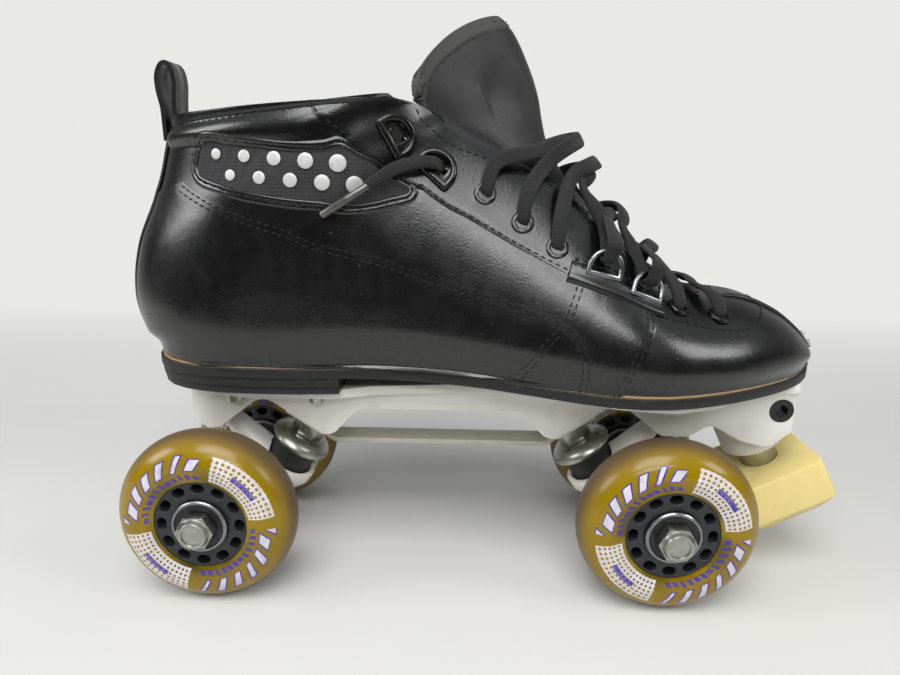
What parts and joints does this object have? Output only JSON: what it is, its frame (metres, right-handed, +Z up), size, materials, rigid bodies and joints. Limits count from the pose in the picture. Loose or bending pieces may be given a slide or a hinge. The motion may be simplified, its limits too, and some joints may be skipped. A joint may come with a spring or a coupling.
{
  "type": "quad speed skate",
  "caption": "Low-cut leather quad speed skate with a cast plate, cushioned pivoting trucks, amber wheels on ball bearings and an adjustable screw-in toe stop",
  "frame": {"origin": "on the floor under the middle of the skate's bounding box", "axes": "X to the toe, Y to the inner side of the foot, Z up"},
  "size_m": [0.3039, 0.1218, 0.2298],
  "materials": {
    "white_enamel": "satin white enamel, slightly dirty",
    "zinc_steel": "zinc plated, greenish grey",
    "black_steel": "black enamel",
    "bright_steel": "ground and polished",
    "aluminium_grey": "turned",
    "black_rubber": "matt",
    "sole_black": "matt, dusty",
    "midsole_tan": "cut edge",
    "black_leather": "semi-gloss grained",
    "insole_felt": "matt",
    "tongue_satin": "woven satin",
    "panel_weave": "fine weave",
    "silver_reflective": "satin reflective film",
    "black_lace": "flat woven",
    "clear_plastic": "clear",
    "amber_urethane": "translucent cast urethane, worn tread",
    "core_charcoal": "moulded",
    "amber_block": "cast urethane, scuffed"
  },
  "bodies": {
    "chassis": {"plate": "white_enamel", "tie_bar": "white_enamel", "mounting_screws": "zinc_steel", "clamp_screw": "black_steel", "kingpins": "zinc_steel", "jam_nuts": "zinc_steel", "kingpin_nuts": "zinc_steel", "cushion_washers": "zinc_steel", "lower_washers": "zinc_steel", "pivot_cups": "black_rubber", "rear_top_cushion": "black_rubber", "front_top_cushion": "black_rubber", "rear_low_cushion": "black_rubber", "front_low_cushion": "black_rubber", "heel_lift_lower": "sole_black", "heel_lift_upper": "sole_black", "outsole": "sole_black", "midsole": "midsole_tan", "upper": "black_leather", "insole": "insole_felt", "tongue": "tongue_satin", "backstay": "black_leather", "pull_loop": "black_leather", "side_panels": "panel_weave", "reflectors": "silver_reflective", "eyelets": "black_steel", "ring_eyelets": "black_steel", "wire_loops": "bright_steel", "loop_straps": "black_leather", "lace": "black_lace", "lace_end_right": "black_lace", "lace_end_left": "black_lace", "aglets": "clear_plastic"},
    "rear_truck": {"rear_hanger": "white_enamel", "rear_axle": "zinc_steel", "rear_axle_nuts": "zinc_steel", "rear_inner_races": "bright_steel", "rear_bearing_balls": "bright_steel", "rear_bearing_spacers": "aluminium_grey"},
    "front_truck": {"front_hanger": "white_enamel", "front_axle": "zinc_steel", "front_axle_nuts": "zinc_steel", "front_inner_races": "bright_steel", "front_bearing_balls": "bright_steel", "front_bearing_spacers": "aluminium_grey"},
    "rear_right_wheel": {"rear_right_tyre": "amber_urethane", "rear_right_core": "core_charcoal", "rear_right_outer_races": "bright_steel"},
    "rear_left_wheel": {"rear_left_tyre": "amber_urethane", "rear_left_core": "core_charcoal", "rear_left_outer_races": "bright_steel"},
    "front_right_wheel": {"front_right_tyre": "amber_urethane", "front_right_core": "core_charcoal", "front_right_outer_races": "bright_steel"},
    "front_left_wheel": {"front_left_tyre": "amber_urethane", "front_left_core": "core_charcoal", "front_left_outer_races": "bright_steel"},
    "toe_stop_screw": {"toe_stop_stem": "zinc_steel"},
    "toe_stop": {"toe_stop_block": "amber_block"}
  },
  "joints": [
    {"name": "rear_steer", "type": "hinge", "parent": "chassis", "child": "rear_truck", "pos_m": [-0.0928, 0, 0.03606], "axis": [-0.6523, 0, 0.7579], "range_deg": [-7, 7], "stiffness_Nm_per_rad": 40, "deforming": ["rear_top_cushion", "rear_low_cushion"]},
    {"name": "front_steer", "type": "hinge", "parent": "chassis", "child": "front_truck", "pos_m": [0.0558, 0, 0.03606], "axis": [0.6523, 0, 0.7579], "range_deg": [-7, 7], "stiffness_Nm_per_rad": 40, "deforming": ["front_top_cushion", "front_low_cushion"]},
    {"name": "rear_right_spin", "type": "hinge", "parent": "rear_truck", "child": "rear_right_wheel", "pos_m": [-0.111, -0.0416, 0.036], "axis": [0, 1, 0], "continuous": true},
    {"name": "rear_left_spin", "type": "hinge", "parent": "rear_truck", "child": "rear_left_wheel", "pos_m": [-0.111, 0.0416, 0.036], "axis": [0, 1, 0], "continuous": true},
    {"name": "front_right_spin", "type": "hinge", "parent": "front_truck", "child": "front_right_wheel", "pos_m": [0.074, -0.0416, 0.036], "axis": [0, 1, 0], "continuous": true},
    {"name": "front_left_spin", "type": "hinge", "parent": "front_truck", "child": "front_left_wheel", "pos_m": [0.074, 0.0416, 0.036], "axis": [0, 1, 0], "continuous": true},
    {"name": "toe_stop_travel", "type": "slide", "parent": "chassis", "child": "toe_stop_screw", "axis": [0.454, 0, -0.891], "range_m": [-0.002, 0.006]},
    {"name": "toe_stop_turn", "type": "hinge", "parent": "toe_stop_screw", "child": "toe_stop", "pos_m": [0.1276, 0, 0.047], "axis": [0.454, 0, -0.891], "range_deg": [-360, 1080]}
  ],
  "couplings": [
    {"joint": "toe_stop_travel", "follows": "toe_stop_turn", "m_per_rad": 0.00031831}
  ]
}
